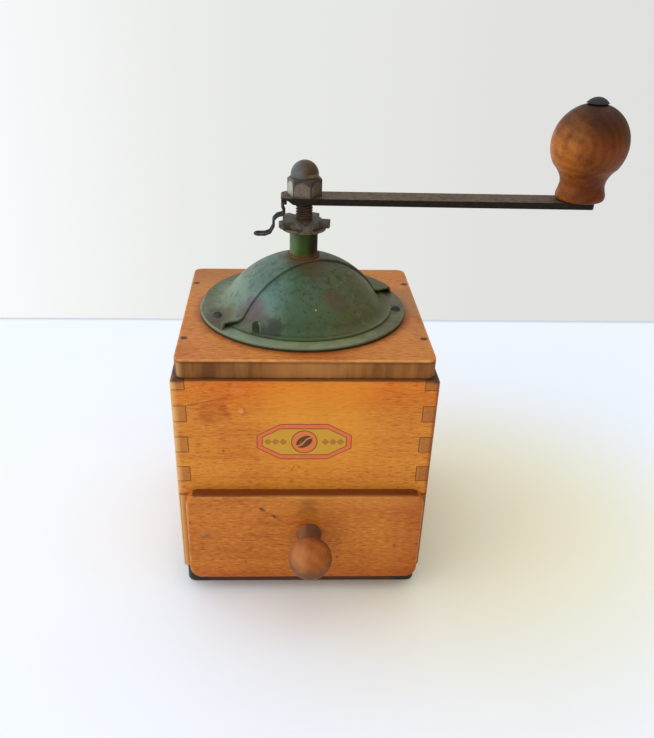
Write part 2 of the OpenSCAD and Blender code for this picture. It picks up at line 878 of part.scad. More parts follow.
// closed wire bail that hangs on the arm's tail over the star nut
module lock_wire() {
    path = wire_path;
    last = len(path) - 1;
    dir = [for (i = [0 : last - 1]) (path[i + 1] - path[i]) / norm(path[i + 1] - path[i])];
    cut = [for (i = [0 : last]) i == 0 || i == last ? 0
        : bend_r * tan(acos(dir[i - 1] * dir[i]) / 2)];
    color([0.17, 0.18, 0.20]) {
        for (s = [-1, 1]) {
            for (i = [0 : last - 1])
                rod(path[i] + cut[i] * dir[i], path[i + 1] - cut[i + 1] * dir[i], s * leg_y);
            for (i = [1 : last - 1]) bend(path[i], dir[i - 1], dir[i], s * leg_y);
        }
        translate([path[last][0], 0, wire_low]) rotate([0, 0, 90]) rotate_extrude(angle = 180)
            translate([leg_y, 0]) circle(r = leg_r + bend_grow);
        translate([eye_x, leg_y + pivot_end, eye_z]) rotate([90, 0, 0])
            cylinder(h = 2 * (leg_y + pivot_end), r = wire_d / 2);
    }
}

module drawer_front() {
    color([0.70, 0.38, 0.18]) difference() {
        union() {
            translate([lip_x, lip_back, (lip_z0 + lip_z1) / 2]) rotate([90, 0, 0])
                linear_extrude(height = lip_t) round_rect(2 * lip_hw, lip_z1 - lip_z0, lip_r);
            box([-drawer_in, lip_back, drawer_z0], [drawer_in, lip_back + block_t, drawer_z1]);
        }
        knob_screw_shank();
        pin_places() pin();
    }
}

module knob_screw_shank() {
    translate([ball_x, lip_back + block_t, ball_z]) rotate([90, 0, 0])
        cylinder(h = block_t + lip_t + ball_reach - knob_screw_short, r = knob_screw_d / 2);
}

module pin_places() {
    for (sx = [0, 1]) mirror([sx, 0, 0]) for (y = [lip_back + block_t / 2, drawer_y1 - drawer_t / 2])
        for (z = [drawer_z0 + pin_edge, drawer_z1 - pin_edge]) translate([drawer_hw, y, z]) children();
}

module pin() {
    translate([-pin_len, 0, 0]) rotate([0, 90, 0]) cylinder(h = pin_len, r = pin_d / 2);
}

module drawer_side() {
    difference() {
        box([drawer_in, lip_back, drawer_z0], [drawer_hw, drawer_y1, drawer_z1]);
        pin_places() pin();
    }
}

module drawer_right() {
    color([0.72, 0.52, 0.32]) drawer_side();
}

module drawer_left() {
    color([0.72, 0.52, 0.32]) mirror([1, 0, 0]) drawer_side();
}

module drawer_back() {
    color([0.72, 0.52, 0.32]) difference() {
        box([-drawer_in, drawer_y1 - drawer_t, drawer_z0], [drawer_in, drawer_y1, drawer_z1]);
        pin_places() pin();
    }
}

module drawer_bottom() {
    color([0.66, 0.48, 0.30])
        box([-drawer_in, lip_back + block_t, drawer_z0 + groove_z],
            [drawer_in, drawer_y1 - drawer_t, drawer_z0 + groove_z + bottom_t]);
}

// turned ball on a neck, its axis to the front
module drawer_knob() {
    nr = ball_neck_d / 2;
    br = ball_d / 2;
    color([0.52, 0.28, 0.14]) difference() {
        translate([ball_x, lip_face, ball_z]) rotate([90, 0, 0]) rotate_extrude() {
            intersection() {
                translate([0, ball_reach]) circle(r = br);
                square([2 * br, ball_reach + 2 * br]);
            }
            polygon([[0, 0], [nr + ball_foot, 0], [nr + ball_foot, ball_foot_h],
                [nr, ball_foot_h + ball_cove_h], [nr, ball_reach - br],
                [nr + ball_cove_h, ball_reach - br + ball_cove_w], [0, ball_reach]]);
        }
        knob_screw_shank();
    }
}

module knob_screw() {
    color([0.50, 0.48, 0.46]) {
        knob_screw_shank();
        translate([ball_x, lip_back + block_t + knob_screw_head_h, ball_z]) rotate([90, 0, 0])
            difference() {
                cylinder(h = knob_screw_head_h, r = knob_screw_head_d / 2);
                slot(knob_screw_head_d, -past);
            }
    }
}

module drawer_pins() {
    color([0.50, 0.48, 0.46]) pin_places() pin();
}

base_board();
base_screws();
left_side();
right_side();
front_panel();
back_panel();
top_board();
top_nails();
drawer_rails();
hopper_dome();
neck_tube();
dome_screws();
dome_flange();
hopper_bowl();
burr_ring();
ring_rivets();
bearing_bridge();
bridge_screws();
shutter();
thrust_washer();
adjusting_nut();
shaft();
burr_cone();
cone_nut();
cone_pin();
crank_arm();
cap_nut();
knob_spindle();
crank_knob();
lock_wire();
drawer_front();
drawer_left();
drawer_right();
drawer_back();
drawer_bottom();
drawer_knob();
knob_screw();
drawer_pins();
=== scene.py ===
"""Looks of a hand coffee mill round its CAD frame: worn beech case, green dome, crank and burr set."""

import json
import math

import bmesh
import bpy
from mathutils import Matrix, Vector


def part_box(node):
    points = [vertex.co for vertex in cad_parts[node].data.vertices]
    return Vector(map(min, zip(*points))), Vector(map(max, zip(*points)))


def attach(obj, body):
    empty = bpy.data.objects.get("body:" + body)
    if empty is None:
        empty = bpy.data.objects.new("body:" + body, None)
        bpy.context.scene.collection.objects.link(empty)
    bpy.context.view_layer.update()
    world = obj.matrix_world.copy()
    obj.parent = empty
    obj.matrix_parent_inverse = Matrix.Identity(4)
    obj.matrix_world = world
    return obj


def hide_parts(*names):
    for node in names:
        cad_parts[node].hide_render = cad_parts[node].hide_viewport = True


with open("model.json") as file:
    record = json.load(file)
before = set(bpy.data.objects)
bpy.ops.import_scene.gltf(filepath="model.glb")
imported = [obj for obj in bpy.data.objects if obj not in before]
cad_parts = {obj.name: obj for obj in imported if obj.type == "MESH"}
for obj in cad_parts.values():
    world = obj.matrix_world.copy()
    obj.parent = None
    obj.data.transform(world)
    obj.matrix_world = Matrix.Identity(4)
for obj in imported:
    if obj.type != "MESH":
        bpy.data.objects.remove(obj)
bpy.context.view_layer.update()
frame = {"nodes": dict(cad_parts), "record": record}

MM = 0.001
RECORD = frame["record"]
BODY = {node: body for body, nodes in RECORD["behaviour"]["bodies"].items() for node in nodes}

# Places on the mill, in millimetres: half the case, the board that the dome stands on, the drawer's face
CASE_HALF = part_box("right_side")[1].x / MM
BOARD_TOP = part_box("top_board")[1].z / MM
DRAWER_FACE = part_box("drawer_front")[0].y / MM


def tone(red, green, blue):
    """Linear colour of an sRGB triple of 0 to 255."""
    linear = [((c / 255 + 0.055) / 1.055) ** 2.4 for c in (red, green, blue)]
    return (*linear, 1.0)


def mm(*values):
    """A point given in millimetres, in metres."""
    return Vector(values) * MM


# Shader expressions


class Wire:
    """One socket of a material's tree. Sums, products and powers of wires lay Math nodes."""

    def __init__(self, shading, socket):
        self.shading = shading
        self.socket = socket

    def maths(self, operation, *others):
        return self.shading.add("Math", {"operation": operation}, dict(enumerate((self, *others))))

    def __add__(self, other):
        return self.maths("ADD", other)

    __radd__ = __add__

    def __sub__(self, other):
        return self.maths("SUBTRACT", other)

    def __rsub__(self, other):
        return self.shading.add("Math", {"operation": "SUBTRACT"}, {0: other, 1: self})

    def __mul__(self, other):
        return self.maths("MULTIPLY", other)

    __rmul__ = __mul__

    def __truediv__(self, other):
        return self.maths("DIVIDE", other)

    def __pow__(self, other):
        return self.maths("POWER", other)

    def __abs__(self):
        return self.maths("ABSOLUTE")

    def least(self, other):
        return self.maths("MINIMUM", other)

    def most(self, other):
        return self.maths("MAXIMUM", other)

    def sine(self):
        return self.maths("SINE")

    def step(self, low, high):
        """0 at low, 1 at high and smooth between; low may be the larger."""
        return self.shading.add(
            "MapRange",
            {"interpolation_type": "SMOOTHSTEP"},
            {"Value": self, "From Min": low, "From Max": high},
        )


class Shading:
    """The nodes of one shader tree, laid by expressions."""

    def __init__(self, tree):
        self.tree = tree

    def add(self, kind, settings=None, sockets=None, out=0):
        """Lays one node: its type, its settings, its sockets' values or wires, and the socket to read."""
        node = self.tree.nodes.new("ShaderNode" + kind)
        for key, value in (settings or {}).items():
            setattr(node, key, value)
        for key, value in (sockets or {}).items():
            if isinstance(value, Wire):
                self.tree.links.new(value.socket, node.inputs[key])
            else:
                node.inputs[key].default_value = value
        return Wire(self, node.outputs[out])

    def axes(self, vector):
        return (self.add("SeparateXYZ", None, {0: vector}, out=axis) for axis in "XYZ")

    def mix(self, share, first, second):
        return self.add("Mix", {"data_type": "RGBA"}, {0: share, 6: first, 7: second}, out=2)

    def times(self, share, colour, by):
        return self.add(
            "Mix",
            {"data_type": "RGBA", "blend_type": "MULTIPLY"},
            {0: share, 6: colour, 7: by},
            out=2,
        )


class Finish(Shading):
    """A material on one Principled shader, laid by expressions on the piece's Object coordinates."""

    def __init__(self, name, **constants):
        self.material = bpy.data.materials.new(name)
        self.material.use_nodes = True
        super().__init__(self.material.node_tree)
        self.tree.nodes.clear()
        end = self.tree.nodes.new("ShaderNodeOutputMaterial")
        self.shader = self.tree.nodes.new("ShaderNodeBsdfPrincipled")
        self.tree.links.new(self.shader.outputs[0], end.inputs[0])
        for socket, value in constants.items():
            self.shader.inputs[socket.replace("_", " ")].default_value = value
        self.place = self.add("TexCoord", out="Object")
        self.x, self.y, self.z = self.axes(self.place)

    def noise(self, scale, stretch=(1, 1, 1), detail=2.0, rough=0.5, seed=0.0):
        """Noise of about scale features a metre, drawn out along an axis whose stretch is under 1."""
        spot = self.add(
            "Mapping",
            {"vector_type": "POINT"},
            {"Vector": self.place, "Location": (seed, seed * 0.7, seed * 0.3), "Scale": stretch},
        )
        return self.add(
            "TexNoise",
            {"noise_dimensions": "3D"},
            {"Vector": spot, "Scale": scale, "Detail": detail, "Roughness": rough},
        )

    def far_from(self, *point):
        """Distance in millimetres from a point given in millimetres."""
        ends = {0: self.place, 1: mm(*point)}
        return self.add("VectorMath", {"operation": "DISTANCE"}, ends, out="Value") / MM

    def spot(self, point, radius, ragged=0.0, seed=0.0, soft=0.6):
        """1 within a radius in millimetres of a point, with a soft, ragged rim."""
        gap = self.far_from(*point)
        if ragged:
            gap = gap + (self.noise(260, detail=3, seed=seed) - 0.5) * (2 * ragged)
        return gap.step(radius, radius * (1 - soft))

    def from_axis(self):
        """Distance in millimetres from the mill's upright axis."""
        return (self.x**2 + self.y**2) ** 0.5 / MM

    def from_edge(self, low, high):
        """Distance in millimetres, on the faces of a box, from the box's nearest edge."""
        a, b, c = (
            (axis - low[i]).least(high[i] - axis) for i, axis in enumerate((self.x, self.y, self.z))
        )
        return a.least(b).most(a.most(b).least(c)) / MM

    def turned(self, centre, degrees):
        """Millimetre coordinates along and across a line in the x-z plane, from its centre."""
        c, s = math.cos(math.radians(degrees)), math.sin(math.radians(degrees))
        x, z = self.x / MM - centre[0], self.z / MM - centre[1]
        return x * c + z * s, z * c - x * s

    def coat(self, colour, rough, metal=None, height=None, depth=0.1, strength=0.5):
        """Feeds the shader: colour, roughness, metal share and a bump of a depth in millimetres."""
        for socket, value in (("Base Color", colour), ("Roughness", rough), ("Metallic", metal)):
            if isinstance(value, Wire):
                self.tree.links.new(value.socket, self.shader.inputs[socket])
            elif value is not None:
                self.shader.inputs[socket].default_value = value
        if height is not None:
            bump = self.add(
                "Bump", None, {"Strength": strength, "Distance": depth * MM, "Height": height}
            )
            self.tree.links.new(bump.socket, self.shader.inputs["Normal"])
        return self.material


# Meshes


def settle(work, name, finish, *nodes, crease=35):
    """Makes a piece of a bmesh in place of these CAD pieces, on their body, with their finish's slot."""
    mesh = bpy.data.meshes.new(name)
    work.to_mesh(mesh)
    work.free()
    mesh.materials.append(finish)
    mesh.shade_smooth()
    mesh.set_sharp_from_angle(angle=math.radians(crease))
    piece = bpy.data.objects.new(name, mesh)
    bpy.context.scene.collection.objects.link(piece)
    weigh = piece.modifiers.new("flat_faces", "WEIGHTED_NORMAL")
    weigh.mode = "FACE_AREA"
    weigh.keep_sharp = True
    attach(piece, BODY[nodes[0]])
    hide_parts(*nodes)


def merged_copy(node):
    """A bmesh copy of a CAD piece, its loose triangles merged and its flat faces joined."""
    work = bmesh.new()
    work.from_mesh(frame["nodes"][node].data)
    bmesh.ops.remove_doubles(work, verts=work.verts, dist=0.002 * MM)
    bmesh.ops.dissolve_limit(
        work, angle_limit=math.radians(0.4), verts=work.verts, edges=work.edges
    )
    return work


def ease(work, width, shortest=0.5, steps=2, keep=None):
    """Rounds the sharp edges of a bmesh, sizes in millimetres, and returns the faces that this makes."""
    sharp = math.radians(30)
    edges = [
        e
        for e in work.edges
        if len(e.link_faces) == 2
        and e.calc_face_angle() > sharp
        and e.calc_length() > shortest * MM
        and (keep is None or keep(e))
    ]
    made = bmesh.ops.bevel(
        work,
        geom=edges,
        offset=width * MM,
        offset_type="OFFSET",
        affect="EDGES",
        segments=steps,
        profile=0.5,
        material=-1,
        clamp_overlap=True,
    )
    return made["faces"]


def eased_piece(node, finish, width, **how):
    """A CAD piece with its edges rounded."""
    work = merged_copy(node)
    ease(work, width, **how)
    settle(work, node + "_worn", finish, node)


def show(node, finish):
    """A CAD piece as it is, with a finish."""
    slots = frame["nodes"][node].data.materials
    slots.clear()
    slots.append(finish)


def lathe(profile):
    """A bmesh turned about +Z from [radius, height] points in millimetres."""
    steps = 96
    work = bmesh.new()
    verts = [work.verts.new(mm(r, 0, z)) for r, z in profile]
    edges = [work.edges.new(pair) for pair in zip(verts, verts[1:])]
    bmesh.ops.spin(
        work,
        geom=verts + edges,
        cent=(0, 0, 0),
        axis=(0, 0, 1),
        angle=math.tau,
        steps=steps,
        use_merge=True,
    )
    bmesh.ops.remove_doubles(work, verts=work.verts, dist=0.002 * MM)
    bmesh.ops.recalc_face_normals(work, faces=work.faces)
    return work


def smooth_run(points, cuts=5):
    """Points of a smooth curve through a few given ones."""
    first, last = Vector(points[0]), Vector(points[-1])
    run = [2 * first - Vector(points[1]), *map(Vector, points), 2 * last - Vector(points[-2])]
    out = []
    for a, b, c, d in zip(run, run[1:], run[2:], run[3:]):
        for t in (k / cuts for k in range(cuts)):
            bend = (2 * a - 5 * b + 4 * c - d) * t**2 + (3 * b - a - 3 * c + d) * t**3
            out.append(b + 0.5 * ((c - a) * t + bend))
    return [*out, last]


def ball_run(radius, height, start, stop, cuts=24):
    """Profile points round a ball, from one angle of latitude to another."""
    angles = (math.radians(start + (stop - start) * k / cuts) for k in range(cuts + 1))
    return [Vector((radius * math.cos(a), height + radius * math.sin(a))) for a in angles]


# Camera, floor and light


def stand_camera():
    """The photograph's viewpoint: focal length and frame centre in pixels of the 654 wide picture."""
    wide, tall = 654, 738
    focal, centre = 804.2, (302.6, 468.0)
    yaw, pitch, roll = (math.radians(a) for a in (-2.11, 33.39, 1.16))
    data = bpy.data.cameras.new("photo_camera")
    data.sensor_fit = "HORIZONTAL"
    data.sensor_width = 36
    data.lens = focal * data.sensor_width / wide
    data.shift_x = (wide / 2 - centre[0]) / wide
    data.shift_y = (centre[1] - tall / 2) / wide
    data.clip_start, data.clip_end = 0.01, 50
    right = Vector((math.cos(yaw), math.sin(yaw), 0))
    ahead = Vector((-math.sin(yaw), math.cos(yaw), 0))
    up = Vector((0, 0, 1))
    look = math.cos(pitch) * ahead - math.sin(pitch) * up
    lift = math.sin(pitch) * ahead + math.cos(pitch) * up
    across = math.cos(roll) * right + math.sin(roll) * lift
    upward = math.cos(roll) * lift - math.sin(roll) * right
    pose = Matrix((across, upward, -look)).transposed().to_4x4()
    pose.translation = mm(-12.2, -376.5, 279.8)
    camera = bpy.data.objects.new("photo_camera", data)
    camera.matrix_world = pose
    bpy.context.scene.collection.objects.link(camera)
    bpy.context.scene.camera = camera


def lay_floor():
    """A wide pale floor that ends a hand's breadth behind the mill, where the white wall begins."""
    reach, wall = 9.0, 0.2855
    work = bmesh.new()
    bmesh.ops.create_grid(work, x_segments=1, y_segments=1, size=reach)
    bmesh.ops.translate(work, verts=work.verts, vec=(0, wall - reach, -0.2 * MM))
    mesh = bpy.data.meshes.new("floor")
    work.to_mesh(mesh)
    work.free()
    bounce_spot = (105, -5, 0)
    f = Finish("pale_floor", Specular_IOR_Level=0.2)
    cloud = f.noise(3.0, detail=3, seed=2.0)
    near = f.mix(cloud, tone(245, 247, 249), tone(250, 251, 252))
    # A warm tint on the floor right of the case: a painted reflection of light bounced off the orange
    # wood.
    glow = f.far_from(*bounce_spot).step(190, 30)
    colour = f.times(glow, near, tone(255, 245, 210))
    # Darker along the floor's far edge: painted shade in the corner where floor and wall meet.
    corner = f.y.step(wall - 0.007, wall)
    colour = f.times(corner * 0.9, colour, tone(204, 208, 212))
    mesh.materials.append(f.coat(colour, 0.5))
    floor = bpy.data.objects.new("floor", mesh)
    bpy.context.scene.collection.objects.link(floor)


def area_light(name, place, size, power, colour):
    """A round soft lamp that faces the mill."""
    data = bpy.data.lights.new(name, "AREA")
    data.shape = "DISK"
    data.size = size
    data.energy = power
    data.color = colour
    lamp = bpy.data.objects.new(name, data)
    lamp.location = place
    lamp.rotation_mode = "QUATERNION"
    lamp.rotation_quaternion = (Vector((0, 0, 0.1)) - Vector(place)).to_track_quat("-Z", "Y")
    bpy.context.scene.collection.objects.link(lamp)


def light_studio():
    """A white room, cool and bright at the left, warmer at the right, with a window at the left."""
    world = bpy.data.worlds.new("studio")
    world.use_nodes = True
    room = Shading(world.node_tree)
    x, _, z = room.axes(room.add("TexCoord", out="Generated"))
    wall = room.mix(x.step(-0.42, 0.02), (0.97, 0.98, 1.0, 1), (0.80, 0.81, 0.78, 1))
    wall = room.mix(x.step(0.0, 0.36), wall, (0.75, 0.755, 0.735, 1))
    sky = room.mix(x.step(-0.8, 0.8), (1.12, 1.20, 1.32, 1), (0.44, 0.42, 0.37, 1))
    sky = room.mix(z.step(0.35, 0.95), sky, (1.03, 1.09, 1.18, 1))
    light = room.mix(z.step(-0.02, 0.02), wall, sky)
    world.node_tree.links.new(light.socket, world.node_tree.nodes["Background"].inputs["Color"])
    bpy.context.scene.world = world
    area_light("window", (-1.45, -0.85, 1.1), 1.3, 5, (0.96, 0.98, 1.0))
    view = bpy.context.scene.view_settings
    view.view_transform = "Standard"
    view.look = "None"


# Wood


def beech(name, node, grain, light, dark, seed, gloss=0.45, rubbed=None, more=None):
    """Varnished beech: tone bands, fine pores and short flecks along the grain, and rubbed edges."""
    low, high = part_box(node)
    f = Finish(name, Specular_IOR_Level=0.25)

    def along(share):
        return tuple(share if axis == grain else 1 for axis in range(3))

    bands = f.noise(60, along(0.12), 3, 0.55, seed)
    pores = f.noise(1500, along(0.03), 3, 0.6, seed + 1)
    fleck = f.noise(1500, along(0.17), 2, 0.5, seed + 2).step(0.53, 0.70)
    streak = f.noise(420, along(0.05), 3, 0.6, seed + 5).step(0.46, 0.72)
    blotch = f.noise(30, detail=3, rough=0.55, seed=seed + 3)
    colour = f.mix(bands.step(0.30, 0.72) * 0.6 + pores.step(0.3, 0.7) * 0.4, light, dark)
    fibre = f.noise(1150, along(0.24), 2, 0.5, seed + 6)
    colour = f.mix(fibre.step(0.52, 0.70) * 0.3, colour, tone(238, 166, 76))
    colour = f.times(fibre.step(0.48, 0.32) * 0.35, colour, tone(210, 172, 128))
    colour = f.times(fleck * 0.6, colour, tone(190, 140, 100))
    colour = f.times(streak * 0.4, colour, tone(222, 192, 168))
    colour = f.times(blotch.step(0.46, 0.74) * 0.45, colour, tone(236, 214, 196))
    rough = gloss + blotch * 0.14 + fleck * 0.1
    if rubbed:
        rub = f.from_edge(low, high) + (f.noise(240, detail=3, seed=seed + 4) - 0.5) * 2.4
        colour = f.mix(rub.step(1.2, 0.1) * 0.6, colour, rubbed)
    if more:
        colour, rough = more(f, colour, rough)
    return f.coat(colour, rough, height=pores * 0.5 - fleck * 0.5, depth=0.1, strength=0.25)


HONEY = (tone(224, 142, 44), tone(206, 122, 35))
PALE_ARRIS = tone(230, 182, 120)
SEAM = tone(108, 58, 22)
DIRT = tone(70, 42, 26)
SCRATCH = tone(84, 50, 30)


def darken_seams(f, colour):
    """Dark dirt in the joints between the case's fingers."""
    seam = f.add("Attribute", {"attribute_name": "seam"}, out="Fac")
    return f.mix(seam * 0.5, colour, SEAM)


def end_grain(f, colour, distance, across):
    """Thirstier wood where the fibres end, by a distance in millimetres from the end face: brown, made
    pale at the case's left by a painted highlight and darker at its right by painted shade."""
    # Pale at the left: painted highlight of the light from the left; darker at the right: painted shade.
    grey = f.mix(across.step(-60, -56.5), tone(222, 168, 98), tone(182, 110, 44))
    grey = f.mix(across.step(40, 56), grey, tone(166, 98, 38))
    pores = f.noise(900, detail=2, seed=9.0).step(0.4, 0.7)
    grey = f.times(pores * 0.3, grey, tone(196, 160, 130))
    return f.mix(distance.step(0.5, 0.1) * 0.75, colour, grey)


def rounded_corners(f, colour):
    """The case's upright corners: rubbed pale and given a painted highlight at the left, darker at the
    right as painted shade.
    """
    x = f.x / MM + (f.noise(160, (1, 1, 0.3), 3, 0.6, 13.0) - 0.5) * 2
    left, right = x + CASE_HALF, CASE_HALF - x
    # Left corners: rubbed wear and a painted highlight; right corners: painted shade.
    colour = f.mix(left.step(3.8, 0.4) * 0.6, colour, tone(230, 182, 112))
    return f.times(right.step(2.6, 0.6) * 0.7, colour, tone(176, 140, 112))


def side_wall(f, colour, rough):
    """End grain and corners, painted lighter at the left and darker at the right as light and shade, the
    corners also rubbed, and black grime on the wall's top.
    """
    colour = end_grain(f, colour, CASE_HALF - abs(f.y) / MM, f.x / MM)
    grime = (f.z / MM + f.noise(90, seed=5.0) * 3).step(118.6, 116.5)
    colour = f.mix((1 - grime) * 0.95, rounded_corners(f, colour), tone(52, 32, 20))
    return darken_seams(f, colour), rough


def label(f, colour, rough):
    """A faded paper label: an eight-sided gold plate, red field, leaf chains and a coffee bean."""
    u, v = f.x / MM, f.z / MM - 85.5
    du, dv = abs(u), abs(v)
    plate = (du - 22).most(dv - 9.6).most(du * 0.55 + dv - 15.6)
    field = plate + 2.6
    disc = (u**2 + v**2) ** 0.5 - 5.9
    leaf = dv - abs(((du - 8.0) * (math.pi / 3.5)).sine()) * 1.5
    leaf = leaf.most(8.0 - du).most(du - 18.5)
    a, b = u * 0.82 + v * 0.57, v * 0.82 - u * 0.57
    bean = ((a / 4.1) ** 2 + (b / 2.8) ** 2) ** 0.5 - 1
    crease = abs(b - (a * 0.8).sine() * 0.5)
    gold, red, ink = tone(206, 150, 44), tone(226, 104, 62), tone(66, 52, 24)

    def within(shape, edge=0.0, soft=0.16):
        return shape.step(edge + soft, edge - soft)

    def line(shape, edge, half):
        return abs(shape - edge).step(half + 0.14, half - 0.1)

    art = f.mix(within(field), red, gold)
    art = f.mix(within(leaf) * within(field) * 0.7, art, tone(150, 92, 38))
    art = f.mix(within(disc) * 0.8, art, red)
    art = f.mix(within(bean, 0, 0.05) * crease.step(0.28, 0.5), art, ink)
    lines = line(plate, -0.25, 0.2).most(line(field, 0.0, 0.2)).most(line(disc, 0.0, 0.22))
    art = f.mix(lines * 0.85, art, ink)
    fade = f.noise(420, detail=4, rough=0.65, seed=8.0).step(0.60, 0.72)
    lies = within(plate) * (0.94 - fade * 0.55) * (f.y / MM + CASE_HALF).step(1, 0.4)
    return f.mix(lies, colour, art), rough - lies * 0.08


def front_marks(f, colour, rough):
    """Richer varnish high on the panel, a lost sticker's outline, chips, spots and the label."""
    colour = end_grain(f, colour, CASE_HALF - abs(f.x) / MM, f.x / MM)
    tint = f.z.step(96 * MM, 113 * MM) * (0.95 - abs(f.x / MM).step(26, 48) * 0.45)
    colour = f.times(tint, colour, tone(255, 203, 96))
    glow = f.far_from(6, -CASE_HALF, 99) + (f.noise(40, detail=2, seed=10.0) - 0.5) * 20
    colour = f.mix(glow.step(42, 12) * 0.45, colour, tone(240, 161, 46))
    colour = f.times(f.z.step(70 * MM, 58 * MM) * 0.25, colour, tone(244, 230, 236))
    a, b = f.turned((-41.3, 100.9), 15.4)
    shape = (abs(a) - 7.6).most(abs(b) - 6.0) + (f.noise(380, detail=3, seed=11.0) - 0.5) * 1.2
    worn = f.noise(330, (0.4, 1, 1), 3, 0.6, 12.0).step(0.36, 0.62)
    colour = f.times(shape.step(0.6, -2.2) * (0.35 + worn * 0.45), colour, tone(214, 180, 160))
    brim = abs(b - 6.0 + a * 0.05).most(abs(a + 1) - 9)
    colour = f.mix(brim.step(0.55, 0.1) * 0.6, colour, tone(140, 78, 28))
    chips = ((-30.7, 112.4, 4.0, 0.12), (-28.8, 101.8, 1.5, 0.35), (-46.0, 93.4, 1.3, 0.25))
    for x, z, radius, share in chips:
        chip = f.spot((x, -CASE_HALF, z), radius, radius * 0.6, x, soft=0.7)
        colour = f.mix(chip * share, colour, tone(238, 186, 116))
    colour = f.mix(f.spot((-37.4, -CASE_HALF, 80.5), 0.8) * 0.6, colour, DIRT)
    hook = abs(f.far_from(-29.6, -CASE_HALF, 101.4) - 2.6).step(0.6, 0.1)
    hook = hook * (f.x / MM).step(-29.5, -28)
    colour = f.mix(hook * 0.5, colour, tone(150, 88, 36))
    a, b = f.turned((-5.1, 71.1), 62)
    colour = f.mix((abs(a) / 2.2).most(abs(b) / 0.3).step(1.1, 0.7) * 0.35, colour, DIRT)
    colour = f.mix(f.z.step(116.2 * MM, 117.0 * MM) * 0.75, colour, DIRT)
    colour, rough = label(f, rounded_corners(f, colour), rough)
    return darken_seams(f, colour), rough


def back_marks(f, colour, rough):
    """Only dirt in the joints."""
    return darken_seams(f, colour), rough


def drawer_marks(f, colour, rough):
    """A dark top edge on the drawer of dirt and painted shade, a painted shadow and a smear of dirt round
    its knob, painted shade towards its bottom, a pale top, scratches and spots.
    """
    face = (f.y / MM - DRAWER_FACE).step(1.4, 0.4)
    # The drawer's top edge dark: dirt and painted shade below the front panel's edge.
    top = (f.z / MM + (f.noise(120, (0.4, 1, 1), 3, 0.6, 20.0) - 0.5) * 0.8).step(57.9, 58.6)
    varnish = f.mix(f.noise(90, (0.2, 1, 1)), tone(86, 38, 5), tone(120, 56, 9))
    colour = f.mix(top * 0.9, colour, varnish)
    # Darker towards the bottom: painted shade on the drawer's lower edge.
    colour = f.times((f.z / MM).step(20, 9) * 0.6, colour, tone(216, 176, 142))
    # A painted shadow of the knob on the drawer's face round it.
    knob_shadow = f.far_from(8, DRAWER_FACE, 37)
    colour = f.times(knob_shadow.step(18, 6) * face * 0.3, colour, tone(200, 172, 128))
    high = f.z.step(46 * MM, 55 * MM) * face * (f.x / MM).step(-32, -12)
    colour = f.mix(high * 0.25, colour, tone(222, 146, 62))
    colour = f.times((f.x / MM).step(36, 58) * 0.55, colour, tone(214, 178, 150))
    smear = f.spot((2.2, DRAWER_FACE, 52.3), 7.5, 4.5, 21.0, soft=0.9)
    colour = f.mix(smear * 0.4, colour, DIRT)
    a, b = f.turned((-15.8, 48.2), -36)
    scrape = f.noise(650, (0.6, 1, 1), 3, 0.6, 22.0).step(0.40, 0.56)
    colour = f.mix((abs(a) / 6.5).most(abs(b) / 0.7).step(1.2, 0.5) * scrape * 0.8, colour, SCRATCH)
    a, b = f.turned((-47.2, 34.9), 30)
    dent = ((a / 3.4) ** 2 + (b / 1.3) ** 2) ** 0.5 + (f.noise(500, detail=2, seed=23.0) - 0.5) * 0.9
    colour = f.mix(dent.step(1.1, 0.4) * 0.55, colour, tone(108, 84, 54))
    for x, z, radius, share in (
        (17.3, 21.8, 0.9, 0.75),
        (45.4, 29.3, 1.1, 0.4),
        (50.5, 26.5, 1.0, 0.3),
        (-54.6, 43.3, 0.7, 0.85),
        (-20.1, 51.4, 1.3, 0.7),
        (-14.0, 47.3, 0.9, 0.7),
        (-28.0, 18.5, 0.9, 0.5),
        (19.0, 31.0, 0.8, 0.35),
    ):
        fleck = f.spot((x, DRAWER_FACE, z), radius, radius * 0.5, x)
        colour = f.mix(fleck * share, colour, DIRT)
    return colour, rough


